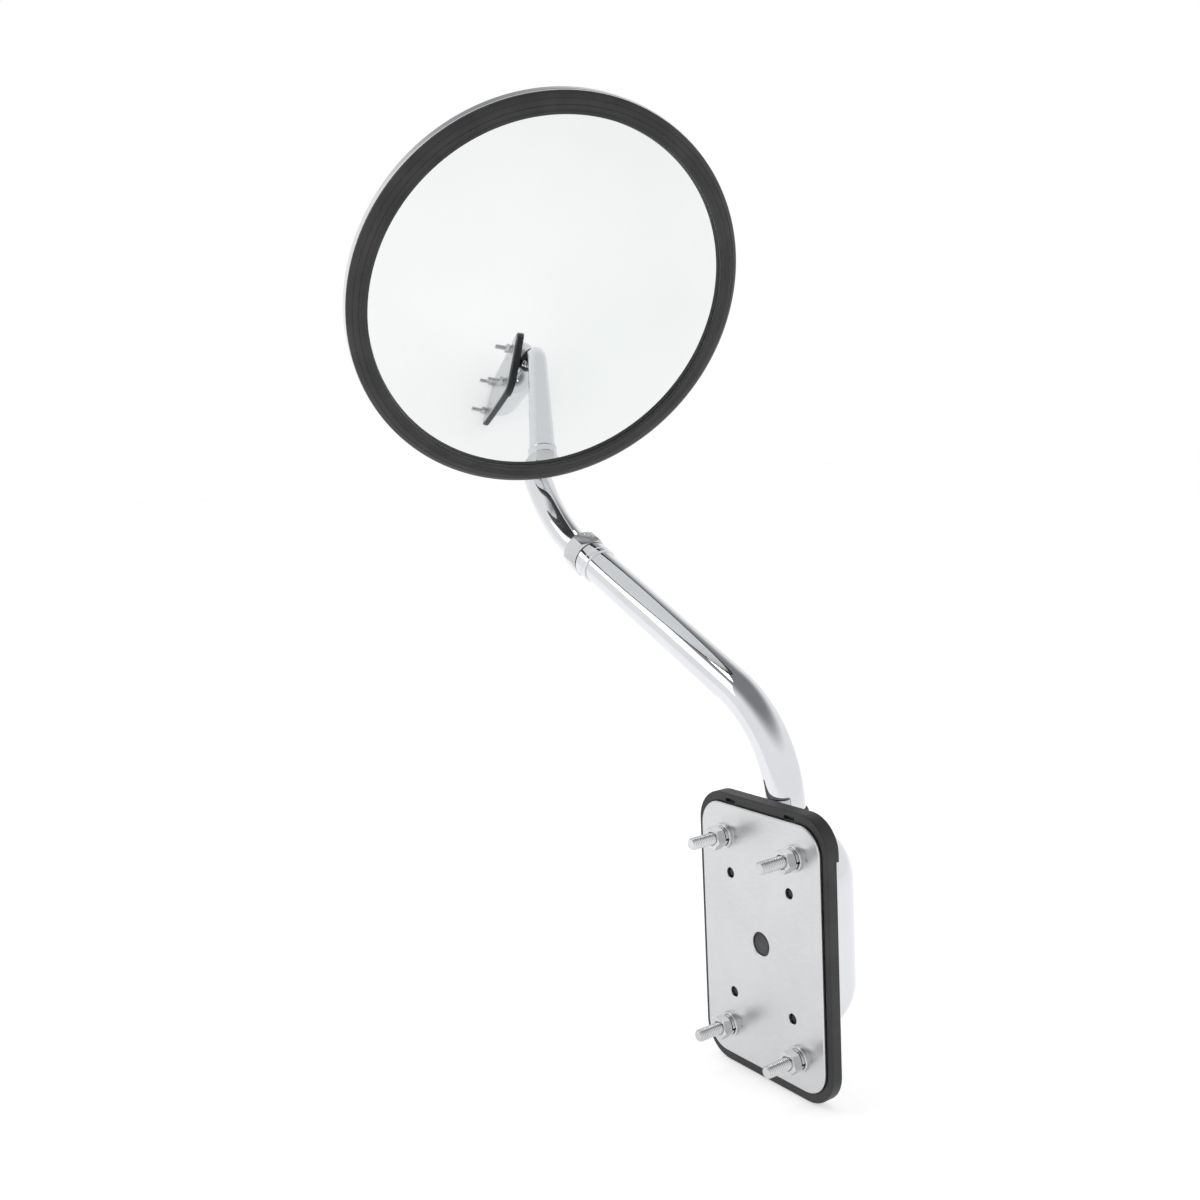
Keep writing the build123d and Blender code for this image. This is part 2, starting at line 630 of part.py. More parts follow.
with BuildPart() as mirror_bowl:
    with BuildSketch(head_cut):
        with BuildLine():
            Polyline((rim_r + 0.4, 5.6), (rim_r + 0.4, 1.9), (rim_r, 1.5), (rim_r - 2.6, 1.5),
                     (rim_r - 2.6, 2.5), (rim_r - 0.8, 2.6), (rim_r - 0.8, 5.9))
            ThreePointArc((rim_r - 0.8, 5.9), (78.6, 18.6), (flat_r, bowl_back - 1.0))
            Polyline((flat_r, bowl_back - 1.0), (14.3, bowl_back - 1.0), (14.3, bowl_back),
                     (flat_r, bowl_back))
            ThreePointArc((flat_r, bowl_back), (79.0, 19.6), (rim_r + 0.4, 5.6))
        make_face()
    revolve(axis=head_axis)
    with BuildSketch(Plane(origin=head_centre + rear * (bowl_back - 2), x_dir=head_x, z_dir=rear)):
        with PolarLocations(22.5, 3, start_angle=90):
            Circle(2.7)
    extrude(amount=3, mode=Mode.SUBTRACT)
save(mirror_bowl, "mirror_bowl", chrome)

# ball socket: cup through the back of the bowl, retainer with pressure cup and spring inside
socket_in = 12.0
with BuildPart() as socket_cup:
    with BuildSketch(head_cut):
        with BuildLine():
            Polyline((12.0, 24.5), (28, 24.5), (28, 27), (14.2, 27), (14.2, 31.4), (12.2, 33.6),
                     (7.0, 33.6), (7.0, 24.5), close=True)
        make_face()
    revolve(axis=head_axis)
    with Locations(Location(ball)):
        Sphere(socket_in, mode=Mode.SUBTRACT)
    with BuildSketch(head_cut):
        with BuildLine():
            Polyline((0, 24), (14 * tan(radians(39)), 38), (0, 38), close=True)
        make_face()
    revolve(axis=head_axis, mode=Mode.SUBTRACT)
    with BuildSketch(Plane(origin=head_centre + rear * 24, x_dir=head_x, z_dir=rear)):
        with PolarLocations(22.5, 3, start_angle=90):
            Circle(2.7)
    extrude(amount=4, mode=Mode.SUBTRACT)
save(socket_cup, "socket_cup", chrome)

with BuildPart() as retainer_cup:
    with BuildSketch(head_cut):
        with BuildLine():
            Polyline((0, 5.0), (15.0, 5.0), (15.0, 22), (28, 22), (28, 24.5), (13.3, 24.5),
                     (13.3, 6.6), (0, 6.6), close=True)
        make_face()
    revolve(axis=head_axis)
    with BuildSketch(Plane(origin=head_centre + rear * 21, x_dir=head_x, z_dir=rear)):
        with PolarLocations(22.5, 3, start_angle=90):
            Circle(2.7)
    extrude(amount=4, mode=Mode.SUBTRACT)
save(retainer_cup, "retainer_cup", zinc)

with BuildPart() as pressure_cup:
    with BuildSketch(head_cut):
        with BuildLine():
            Polyline((0, 10.6), (13.1, 10.6), (13.1, 18.5), (0, 18.5), close=True)
        make_face()
    revolve(axis=head_axis)
    with Locations(Location(ball)):
        Sphere(socket_in, mode=Mode.SUBTRACT)
save(pressure_cup, "pressure_cup", steel)

with BuildPart() as spring_form:
    with BuildLine():
        Helix(pitch=1.9, height=2.2, radius=10.2)
    with BuildSketch(Plane(origin=(10.2, 0, 0), x_dir=(1, 0, 0), z_dir=(0, 1, 0))):
        Circle(0.8)
    sweep(is_frenet=True)
with BuildPart() as pressure_spring:
    with Locations(Plane(origin=head_centre + rear * 7.5, x_dir=head_x, z_dir=rear).location):
        add(spring_form.part)
save(pressure_spring, "pressure_spring", steel)


def liner(low, high):
    """Spherical shell zone between two polar angles measured from the rear axis."""
    inner, outer = ball_r + 0.04, socket_in - 0.04
    mid = radians((low + high) / 2)
    a, b = radians(low), radians(high)
    with BuildPart() as piece:
        with BuildSketch(head_cut):
            with BuildLine():
                ThreePointArc((inner * sin(a), ball_depth + inner * cos(a)),
                              (inner * sin(mid), ball_depth + inner * cos(mid)),
                              (inner * sin(b), ball_depth + inner * cos(b)))
                Line((inner * sin(b), ball_depth + inner * cos(b)),
                     (outer * sin(b), ball_depth + outer * cos(b)))
                ThreePointArc((outer * sin(b), ball_depth + outer * cos(b)),
                              (outer * sin(mid), ball_depth + outer * cos(mid)),
                              (outer * sin(a), ball_depth + outer * cos(a)))
                Line((outer * sin(a), ball_depth + outer * cos(a)),
                     (inner * sin(a), ball_depth + inner * cos(a)))
            make_face()
        revolve(axis=head_axis)
    return piece


rear_liner = liner(40, 80)
save(rear_liner, "rear_liner", nylon)
front_liner = liner(100, 158)
save(front_liner, "front_liner", nylon)

with BuildPart() as socket_screws:
    for s0, s1, r in ((28.0, 30.4, 4.6), (17.0, 28.0, 2.45)):
        with BuildSketch(Plane(origin=head_centre + rear * s0, x_dir=head_x, z_dir=rear)):
            with PolarLocations(22.5, 3, start_angle=90):
                Circle(r)
        extrude(amount=s1 - s0)
    heads = socket_screws.faces().filter_by(lambda f: f.area > 50).edges() \
        .filter_by(GeomType.CIRCLE).filter_by(lambda e: e.radius > 4)
    outer_rings = [e for e in heads if (e.arc_center - head_centre).dot(rear) > 30]
    fillet(outer_rings, 1.6)
save(socket_screws, "socket_screws", chrome)

with BuildPart() as socket_nuts:
    with BuildSketch(Plane(origin=head_centre + rear * 18.0, x_dir=head_x, z_dir=rear)):
        with PolarLocations(22.5, 3, start_angle=90):
            RegularPolygon(4.0, 6, major_radius=False)
            Circle(2.45, mode=Mode.SUBTRACT)
    extrude(amount=4.0)
save(socket_nuts, "socket_nuts", zinc)

print("arm_top", arm_top)
print("tip", tip, "tip_dir", tip_dir)
print("ball", ball, "stud_dir", stud_dir)
print("head centre", head_centre, "face", face, "head_x", head_x)
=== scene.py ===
import math

import bmesh
import bpy
from mathutils import Matrix, Vector


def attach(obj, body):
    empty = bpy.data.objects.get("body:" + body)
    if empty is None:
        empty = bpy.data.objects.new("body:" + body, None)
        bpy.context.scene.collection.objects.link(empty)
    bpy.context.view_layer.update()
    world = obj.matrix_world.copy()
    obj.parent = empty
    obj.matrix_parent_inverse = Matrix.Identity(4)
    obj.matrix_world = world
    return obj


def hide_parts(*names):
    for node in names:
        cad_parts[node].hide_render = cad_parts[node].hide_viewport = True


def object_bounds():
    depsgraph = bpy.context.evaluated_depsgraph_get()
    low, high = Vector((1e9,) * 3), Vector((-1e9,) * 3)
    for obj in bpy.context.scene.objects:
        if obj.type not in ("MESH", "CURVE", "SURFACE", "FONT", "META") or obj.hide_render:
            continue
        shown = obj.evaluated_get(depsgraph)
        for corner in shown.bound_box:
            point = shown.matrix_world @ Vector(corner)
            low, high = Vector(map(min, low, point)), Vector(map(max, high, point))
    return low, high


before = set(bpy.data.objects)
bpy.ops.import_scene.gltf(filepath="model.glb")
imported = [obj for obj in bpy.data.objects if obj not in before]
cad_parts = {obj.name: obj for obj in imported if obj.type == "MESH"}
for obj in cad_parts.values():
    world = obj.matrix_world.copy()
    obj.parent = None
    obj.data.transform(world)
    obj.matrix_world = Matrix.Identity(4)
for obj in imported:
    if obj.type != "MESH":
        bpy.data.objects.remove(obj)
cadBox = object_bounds()
print("frame loaded:", len(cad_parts), "nodes")

mm = 0.001

# ---- the object's own directions, the same as the frame's ----

armPath = {
    "offset": 19.0, "bottom": 8.0, "bendStart": 61.0, "lowerBend": 63.0, "lean": 63.4,
    "straight": 132.0, "upperStart": 14.5, "upperBend": 60.0, "upperTurn": 85.16,
    "twist": -11.21, "upperStraight": 83.6, "insert": 96.0,
}
headAim = {"azimuth": -13.76, "elevation": -30.07, "ballDepth": 24.0, "studReach": 20.0}

upAxis = Vector((0, 0, 1))
leftAxis = Vector((-1, 0, 0))


def turned(first, second, degrees):
    angle = math.radians(degrees)
    return first * math.cos(angle) + second * math.sin(angle)


def frameAt(origin, xDir, zDir):
    yDir = zDir.cross(xDir)
    columns = [xDir, yDir, zDir, origin]
    return Matrix([[c[i] for c in columns] for i in range(3)] + [[0, 0, 0, 1]])


lowerCorner = Vector((0, armPath["offset"], armPath["bendStart"]))
leanAngle = math.radians(armPath["lean"])
armDir = turned(upAxis, leftAxis, armPath["lean"])
armTop = (lowerCorner + upAxis * armPath["lowerBend"] * math.sin(leanAngle)
          + leftAxis * armPath["lowerBend"] * (1 - math.cos(leanAngle))
          + armDir * armPath["straight"])
rise = (upAxis - armDir * upAxis.dot(armDir)).normalized()
bendDir = turned(rise, armDir.cross(rise), armPath["twist"])
tipDir = turned(armDir, bendDir, armPath["upperTurn"])
turnAngle = math.radians(armPath["upperTurn"])
curveStart = armTop + armDir * armPath["upperStart"]
curveEnd = (curveStart + armDir * armPath["upperBend"] * math.sin(turnAngle)
            + bendDir * armPath["upperBend"] * (1 - math.cos(turnAngle)))
tip = curveEnd + tipDir * armPath["upperStraight"]
faceDir = Vector((math.cos(math.radians(headAim["elevation"])) * math.cos(math.radians(headAim["azimuth"])),
                  math.cos(math.radians(headAim["elevation"])) * math.sin(math.radians(headAim["azimuth"])),
                  math.sin(math.radians(headAim["elevation"]))))
rear = -faceDir
studDir = (rear - tipDir * rear.dot(tipDir)).normalized()
ball = tip - studDir * headAim["studReach"]
headCentre = ball - rear * headAim["ballDepth"]
headUp = (upAxis - rear * upAxis.dot(rear)).normalized()

armFrame = frameAt(armTop, rise, armDir)
headFrame = frameAt(headCentre, headUp, rear)
studFrame = frameAt(ball, tipDir, studDir)
pivotFrame = frameAt(Vector((0, armPath["offset"], 0)), Vector((1, 0, 0)), upAxis)
backFrame = frameAt(Vector((0, 0, 0)), Vector((-1, 0, 0)), Vector((0, 1, 0)))  # local z is depth behind the plate


def outward(x, z):
    return frameAt(Vector((x, 0, z)), Vector((1, 0, 0)), Vector((0, -1, 0)))  # local z leaves the plate


# ---- camera ----

cameraSettings = {
    "place": (0.4311, -0.3892, 0.2348), "right": (0.5812, 0.8124, -0.0458),
    "up": (-0.0668, 0.1038, 0.9924), "lens": 37.83, "sensor": 36.0,
}


def makeCamera(settings):
    data = bpy.data.cameras.new("camera")
    data.lens, data.sensor_width = settings["lens"], settings["sensor"]
    data.clip_start, data.clip_end = 0.02, 60
    camera = bpy.data.objects.new("camera", data)
    bpy.context.scene.collection.objects.link(camera)
    right = Vector(settings["right"]).normalized()
    top = (Vector(settings["up"]) - right * right.dot(Vector(settings["up"]))).normalized()
    back = right.cross(top)
    rows = [[right[i], top[i], back[i], settings["place"][i]] for i in range(3)]
    camera.matrix_world = Matrix(rows + [[0, 0, 0, 1]])
    bpy.context.scene.camera = camera


makeCamera(cameraSettings)
print("camera placed")

# ---- shader helpers ----


class Wire:
    def __init__(self, graph, socket):
        self.graph = graph
        self.socket = socket

    def __add__(self, other):
        return self.graph.math("ADD", self, other)

    def __mul__(self, other):
        return self.graph.math("MULTIPLY", self, other)

    def __sub__(self, other):
        return self.graph.math("SUBTRACT", self, other)

    def __rsub__(self, other):
        return self.graph.math("SUBTRACT", other, self)

    __radd__ = __add__
    __rmul__ = __mul__


class Graph:
    def __init__(self, owner):
        owner.use_nodes = True
        self.owner = owner
        self.tree = owner.node_tree
        self.tree.nodes.clear()

    def node(self, kind, settings=None, inputs=None, output=0):
        made = self.tree.nodes.new(kind)
        for key, value in (settings or {}).items():
            if key == "stops":
                ramp = made.color_ramp
                while len(ramp.elements) < len(value):
                    ramp.elements.new(0.5)
                for element, (place, colour) in zip(ramp.elements, value):
                    element.position = place
                    element.color = (*colour, 1) if hasattr(colour, "__len__") else (colour, colour, colour, 1)
            else:
                setattr(made, key, value)
        for key, value in (inputs or {}).items():
            if isinstance(value, Wire):
                self.tree.links.new(value.socket, made.inputs[key])
            else:
                made.inputs[key].default_value = value
        return Wire(self, made.outputs[output]) if len(made.outputs) else made

    def math(self, operation, first, second):
        return self.node("ShaderNodeMath", {"operation": operation}, {0: first, 1: second})

    def between(self, value, low, high):
        return self.node("ShaderNodeMapRange", {"interpolation_type": "SMOOTHSTEP"},
                         {"Value": value, "From Min": low, "From Max": high})

    def place(self, stretch=(1, 1, 1), turn=(0, 0, 0)):
        here = self.node("ShaderNodeTexCoord", output="Object")
        return self.node("ShaderNodeMapping", None, {"Vector": here, "Scale": stretch, "Rotation": turn})

    def noise(self, scale, detail=3.0, stretch=(1, 1, 1), turn=(0, 0, 0), roughness=0.55):
        return self.node("ShaderNodeTexNoise", None,
                         {"Vector": self.place(stretch, turn), "Scale": scale, "Detail": detail,
                          "Roughness": roughness})

    def blend(self, factor, first, second):
        return self.node("ShaderNodeMix", {"data_type": "RGBA"},
                         {0: factor, 6: (*first, 1), 7: (*second, 1)}, output=2)

    def bump(self, height, strength, distance):
        return self.node("ShaderNodeBump", None,
                         {"Height": height, "Strength": strength, "Distance": distance})

    def surface(self, values):
        shader = self.node("ShaderNodeBsdfPrincipled", None, values)
        self.node("ShaderNodeOutputMaterial", None, {"Surface": shader})
        return self.owner


def newGraph(name):
    return Graph(bpy.data.materials.new(name))


# ---- finishes ----

metals = {
    "polishedSteel": {"light": (0.72, 0.73, 0.75), "dark": (0.695, 0.705, 0.725), "smooth": 0.030,
                      "rough": 0.060, "lines": (120, 120, 120), "lineDepth": 0.000002},
    "brightZinc": {"light": (0.68, 0.685, 0.69), "dark": (0.54, 0.55, 0.56), "smooth": 0.16,
                   "rough": 0.30, "lines": (900, 900, 900), "lineDepth": 0.00006},
    "castMetal": {"light": (0.36, 0.37, 0.385), "dark": (0.24, 0.245, 0.26), "smooth": 0.45,
                  "rough": 0.65, "lines": (420, 420, 420), "lineDepth": 0.00030},
    "springSteel": {"light": (0.46, 0.46, 0.48), "dark": (0.28, 0.28, 0.30), "smooth": 0.24,
                    "rough": 0.40, "lines": (700, 700, 700), "lineDepth": 0.00008},
    "brassRing": {"light": (0.80, 0.62, 0.29), "dark": (0.62, 0.45, 0.19), "smooth": 0.20,
                  "rough": 0.36, "lines": (600, 600, 600), "lineDepth": 0.00006},
    "nutSteel": {"light": (0.66, 0.665, 0.67), "dark": (0.55, 0.555, 0.57), "smooth": 0.07,
                 "rough": 0.18, "lines": (700, 700, 700), "lineDepth": 0.00004},
    "blackOxide": {"light": (0.060, 0.060, 0.064), "dark": (0.022, 0.022, 0.025), "smooth": 0.26,
                   "rough": 0.42, "lines": (700, 700, 700), "lineDepth": 0.00008},
}


def metalFinish(name):
    look = metals[name]
    graph = newGraph(name)
    cloud = graph.noise(38, 4)
    grain = graph.noise(1, 3, look["lines"])
    worn = graph.between(cloud, 0.30, 0.72)
    return graph.surface({
        "Base Color": graph.blend(worn, look["dark"], look["light"]),
        "Metallic": 1.0,
        "Roughness": look["smooth"] + (look["rough"] - look["smooth"]) * (1 - worn) * grain * 1.6,
        "Normal": graph.bump(grain, 0.35, look["lineDepth"]),
    })


plateLook = {"light": (0.63, 0.635, 0.64), "dark": (0.58, 0.585, 0.59), "brush": (160, 160, 2600),
             "smooth": 0.26, "rough": 0.34}


def plateFinish(look):
    graph = newGraph("satinPlate")
    brush = graph.noise(1, 4, look["brush"])
    cloud = graph.noise(26, 3)
    fleck = graph.noise(1500, 2)
    tone = graph.between(brush * 0.55 + cloud * 0.45, 0.36, 0.62)
    return graph.surface({
        "Base Color": graph.blend(tone, look["dark"], look["light"]),
        "Metallic": 1.0,
        "Roughness": look["smooth"] + (look["rough"] - look["smooth"]) * brush,
        "Normal": graph.bump(brush + fleck * 0.35, 0.05, 0.00002),
    })


rubbers = {
    "blackRubber": {"light": (0.021, 0.021, 0.022), "dark": (0.010, 0.010, 0.011), "smooth": 0.40,
                    "rough": 0.60},
    "plugRubber": {"light": (0.075, 0.075, 0.078), "dark": (0.040, 0.040, 0.043), "smooth": 0.50,
                   "rough": 0.70},
    "foamBack": {"light": (0.13, 0.13, 0.14), "dark": (0.07, 0.07, 0.075), "smooth": 0.75, "rough": 0.95},
    "nylon": {"light": (0.82, 0.80, 0.73), "dark": (0.72, 0.69, 0.60), "smooth": 0.35, "rough": 0.5},
}


def softFinish(name):
    look = rubbers[name]
    graph = newGraph(name)
    cloud = graph.noise(55, 4)
    grain = graph.noise(2600, 3)
    tone = graph.between(cloud, 0.35, 0.68)
    return graph.surface({
        "Base Color": graph.blend(tone, look["dark"], look["light"]),
        "Roughness": look["smooth"] + (look["rough"] - look["smooth"]) * (cloud * 0.6 + grain * 0.4),
        "Normal": graph.bump(grain, 0.30, 0.00005),
    })


def mirrorFinish():
    graph = newGraph("silveredGlass")
    haze = graph.noise(9, 3)
    dust = graph.between(graph.noise(1900, 2), 0.70, 0.78)
    return graph.surface({
        "Base Color": graph.blend(graph.between(haze, 0.3, 0.7), (0.800, 0.818, 0.815), (0.835, 0.848, 0.846)),
        "Metallic": 1.0,
        "Roughness": 0.015 + haze * 0.02 + dust * 0.04,
        "Coat Weight": 0.35,
    })


finishes = {name: metalFinish(name) for name in metals}
finishes.update({name: softFinish(name) for name in rubbers})
finishes["satinPlate"] = plateFinish(plateLook)
finishes["silveredGlass"] = mirrorFinish()
print("finishes made:", len(finishes))

# ---- mesh helpers ----


def outline(points, closed=True):
    # a line of points in the local XZ plane; a third number rounds that corner by so much
    bm = bmesh.new()
    verts = [bm.verts.new((p[0], 0, p[1])) for p in points]
    for a, b in zip(verts, verts[1:]):
        bm.edges.new((a, b))
    if closed:
        bm.edges.new((verts[-1], verts[0]))
    for vert, point in zip(verts, points):
        if len(point) > 2:
            bmesh.ops.bevel(bm, geom=[vert], offset=point[2], offset_type="OFFSET", segments=4,
                            profile=0.5, affect="VERTICES", material=-1)
    return bm


def spun(points, steps=96, turn=360.0, climb=0.0, closed=True):
    bm = outline(points, closed)
    full = turn >= 360 and climb == 0
    bmesh.ops.spin(bm, geom=bm.verts[:] + bm.edges[:], cent=(0, 0, 0), axis=(0, 0, 1),
                   dvec=(0, 0, climb / steps), angle=math.radians(turn), steps=steps,
                   use_merge=full, use_normal_flip=False, use_duplicate=False)
    bmesh.ops.remove_doubles(bm, verts=bm.verts[:], dist=0.0005)
    if not full:
        bmesh.ops.holes_fill(bm, edges=[e for e in bm.edges if e.is_boundary], sides=0)
    bmesh.ops.recalc_face_normals(bm, faces=bm.faces[:])
    return bm


def arc(centre, radius, start, stop, count):
    step = (stop - start) / count
    return [(centre[0] + radius * math.cos(math.radians(start + step * i)),
             centre[1] + radius * math.sin(math.radians(start + step * i))) for i in range(count + 1)]


def throughThree(a, b, c, count):
    # points along the circle through a, b and c
    ax, ay, bx, by, cx, cy = *a, *b, *c
    d = 2 * (ax * (by - cy) + bx * (cy - ay) + cx * (ay - by))
    ux = ((ax * ax + ay * ay) * (by - cy) + (bx * bx + by * by) * (cy - ay) + (cx * cx + cy * cy) * (ay - by)) / d
    uy = ((ax * ax + ay * ay) * (cx - bx) + (bx * bx + by * by) * (ax - cx) + (cx * cx + cy * cy) * (bx - ax)) / d
    start, stop = (math.degrees(math.atan2(p[1] - uy, p[0] - ux)) for p in (a, c))
    stop += 360 * round((start - stop) / 360)
    return arc((ux, uy), math.hypot(ax - ux, ay - uy), start, stop, count)


def ringLoop(bm, width, height, corner, middle, depth, segments):
    # a rounded rectangle of edges at a depth behind the plate
    ring = bmesh.new()
    made = bmesh.ops.create_grid(ring, x_segments=1, y_segments=1, size=0.5)["verts"]
    bmesh.ops.scale(ring, vec=(width, height, 1), verts=made)
    bmesh.ops.translate(ring, vec=(0, middle, depth), verts=made)
    bmesh.ops.bevel(ring, geom=made, offset=corner, offset_type="OFFSET", segments=segments, profile=0.5,
                    affect="VERTICES", material=-1)
    bmesh.ops.delete(ring, geom=ring.faces[:], context="FACES_ONLY")
    mesh = bpy.data.meshes.new("ring")
    ring.to_mesh(mesh)
    ring.free()
    known = len(bm.edges)
    bm.from_mesh(mesh)
    bpy.data.meshes.remove(mesh)
    bm.edges.ensure_lookup_table()
    return bm.edges[known:]


def lofted(loops, capStart=False, capEnd=False, segments=14):
    bm = bmesh.new()
    made = [ringLoop(bm, *loop, segments) for loop in loops]
    for a, b in zip(made, made[1:]):
        bmesh.ops.bridge_loops(bm, edges=a + b)
    for wanted, edges in ((capStart, made[0]), (capEnd, made[-1])):
        if wanted:
            bmesh.ops.contextual_create(bm, geom=edges)
    bmesh.ops.recalc_face_normals(bm, faces=bm.faces[:])
    return bm


def asObject(bm, name):
    mesh = bpy.data.meshes.new(name)
    bm.to_mesh(mesh)
    bm.free()
    made = bpy.data.objects.new(name, mesh)
    bpy.context.scene.collection.objects.link(made)
    return made


def carved(bm, cutters, operation="DIFFERENCE", solver="EXACT"):
    target = asObject(bm, "blank")
    tools = [asObject(cutter, "cutter") for cutter in cutters]
    for tool in tools:
        cut = target.modifiers.new("cut", "BOOLEAN")
        cut.object, cut.operation, cut.solver = tool, operation, solver
    bpy.context.view_layer.update()
    made = bmesh.new()
    made.from_object(target, bpy.context.evaluated_depsgraph_get())
    for used in [target] + tools:
        mesh = used.data
        bpy.data.objects.remove(used)
        bpy.data.meshes.remove(mesh)
    bmesh.ops.remove_doubles(made, verts=made.verts[:], dist=0.0005)
    return made


def moved(bm, matrix):
    bmesh.ops.transform(bm, matrix=matrix, verts=bm.verts[:])
    return bm


def joined(parts):
    bm = bmesh.new()
    for part in parts:
        mesh = bpy.data.meshes.new("part")
        part.to_mesh(mesh)
        part.free()
        bm.from_mesh(mesh)
        bpy.data.meshes.remove(mesh)
    return bm


def cylinder(radius, low, high, segments=64, x=0.0, y=0.0):
    bm = bmesh.new()
    bmesh.ops.create_cone(bm, cap_ends=True, cap_tris=False, segments=segments, radius1=radius,
                          radius2=radius, depth=high - low)
    bmesh.ops.translate(bm, vec=(x, y, (low + high) / 2), verts=bm.verts[:])
    return bm


def block(size, centre):
    bm = bmesh.new()
    bmesh.ops.create_cube(bm, size=1)
    bmesh.ops.scale(bm, vec=size, verts=bm.verts[:])
    bmesh.ops.translate(bm, vec=centre, verts=bm.verts[:])
    return bm


def threaded(radius, pitch, depth, low, high, chamfer=0.0, steps=28):
    # one tooth is wound round the axis, then both ends are cut flat and closed
    tooth = [(radius - depth, 0), (radius - 0.02, pitch * 0.42), (radius, pitch * 0.5),
             (radius - 0.02, pitch * 0.58), (radius - depth, pitch)]
    bm = outline(tooth, closed=False)
    turns = math.ceil((high - low) / pitch) + 2
    bmesh.ops.spin(bm, geom=bm.verts[:] + bm.edges[:], cent=(0, 0, 0), axis=(0, 0, 1),
                   dvec=(0, 0, pitch / steps), angle=2 * math.pi * turns, steps=turns * steps,
                   use_merge=False, use_normal_flip=False, use_duplicate=False)
    bmesh.ops.remove_doubles(bm, verts=bm.verts[:], dist=0.0005)
    bmesh.ops.translate(bm, vec=(0, 0, low - pitch * 1.5), verts=bm.verts[:])
    for height, side in ((low, -1), (high, 1)):
        bmesh.ops.bisect_plane(bm, geom=bm.verts[:] + bm.edges[:] + bm.faces[:], dist=1e-5,
                               plane_co=(0, 0, height), plane_no=(0, 0, side), clear_outer=True)
    bmesh.ops.holes_fill(bm, edges=[e for e in bm.edges if e.is_boundary], sides=0)
    for vert in bm.verts:
        limit = radius - chamfer + (high - vert.co.z)
        reach = math.hypot(vert.co.x, vert.co.y)
        if chamfer and reach > limit:
            vert.co.x *= limit / reach
            vert.co.y *= limit / reach
    bmesh.ops.recalc_face_normals(bm, faces=bm.faces[:])
    return bm


def cornerAngle(node, matrix, reach):
    # where the node's own hexagon has a corner, in degrees round the local axis
    back = matrix.inverted()
    places = [back @ (v.co / mm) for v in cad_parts[node].data.vertices]
    best = max((p for p in places if math.hypot(p.x, p.y) < reach), key=lambda p: math.hypot(p.x, p.y))
    return math.degrees(math.atan2(best.y, best.x))


def hexNut(flats, low, high, turn, barrel):
    # a hexagonal bar kept only where the turned barrel also is, which gives the curved corner cuts
    bm = bmesh.new()
    corner = flats / 2 / math.cos(math.radians(30))
    bmesh.ops.create_cone(bm, cap_ends=True, cap_tris=False, segments=6, radius1=corner, radius2=corner,
                          depth=high - low)
    bmesh.ops.translate(bm, vec=(0, 0, (low + high) / 2), verts=bm.verts[:])
    bmesh.ops.rotate(bm, verts=bm.verts[:], cent=(0, 0, 0), matrix=Matrix.Rotation(math.radians(turn - 90), 3, "Z"))
    return carved(spun(barrel, 96), [bm], "INTERSECT")


def tubeShell(radius, start, xDir, zDir, moves, sides=72):
    # a ring of edges is pushed along runs and turned round bends
    bm = bmesh.new()
    ring = bmesh.ops.create_circle(bm, cap_ends=False, segments=sides, radius=radius)["verts"]
    bmesh.ops.transform(bm, matrix=frameAt(start, xDir, zDir), verts=ring)
    edges = bm.edges[:]
    for kind, *values in moves:
        for _ in range(values[-1]):
            edges, verts = pushed(bm, edges)
            if kind == "run":
                bmesh.ops.translate(bm, vec=values[0] / values[-1], verts=verts)
            else:
                centre, axis, degrees, count = values
                bmesh.ops.rotate(bm, verts=verts, cent=centre,
                                 matrix=Matrix.Rotation(math.radians(degrees / count), 3, axis))
    return bm, edges


def pushed(bm, edges):
    made = bmesh.ops.extrude_edge_only(bm, edges=edges)["geom"]
    return ([g for g in made if isinstance(g, bmesh.types.BMEdge)],
            [g for g in made if isinstance(g, bmesh.types.BMVert)])


def nodeCopy(node):
    # the CAD mesh is loose triangles, so a copy is merged before it is worked on
    bm = bmesh.new()
    bm.from_mesh(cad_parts[node].data)
    bmesh.ops.scale(bm, vec=(1 / mm,) * 3, verts=bm.verts[:])
    bmesh.ops.remove_doubles(bm, verts=bm.verts[:], dist=0.001)
    bmesh.ops.dissolve_limit(bm, angle_limit=math.radians(0.5), verts=bm.verts[:], edges=bm.edges[:])
    return bm


def finish(bm, name, body, finishName, nodes, edge=0.0, smooth=32, segments=2):
    bmesh.ops.scale(bm, vec=(mm,) * 3, verts=bm.verts[:])
    made = asObject(bm, name)
    made.data.materials.clear()
    made.data.materials.append(finishes[finishName])
    made.data.shade_smooth()
    made.data.set_sharp_from_angle(angle=math.radians(smooth))
    if edge:
        bevel = made.modifiers.new("edge", "BEVEL")
        bevel.width, bevel.segments, bevel.limit_method = edge * mm, segments, "ANGLE"
        bevel.angle_limit, bevel.use_clamp_overlap = math.radians(38), True
    normals = made.modifiers.new("evenShading", "WEIGHTED_NORMAL")
    normals.keep_sharp = True
    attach(made, body)
    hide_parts(*nodes)
    return made


# ---- mounting plate, studs and nuts ----

plateSizes = {"width": 80.5, "height": 127.25, "middle": 0.625, "thick": 3.0, "corner": 13.0, "chamfer": 0.5,
              "studs": (48.0, 96.0), "screws": (40.4, 60.4), "screwHole": 2.5, "centreHole": 5.7}


def corners(spread):
    return [(x * spread[0] / 2, z * spread[1] / 2) for x in (-1, 1) for z in (-1, 1)]


def drill(radius, chamfer, x, z):
    profile = [(0, -0.6), (radius + chamfer + 0.6, -0.6), (radius, chamfer), (radius, 4), (0, 4)]
    return moved(spun(profile, 56), Matrix.Translation((x, z, 0)))


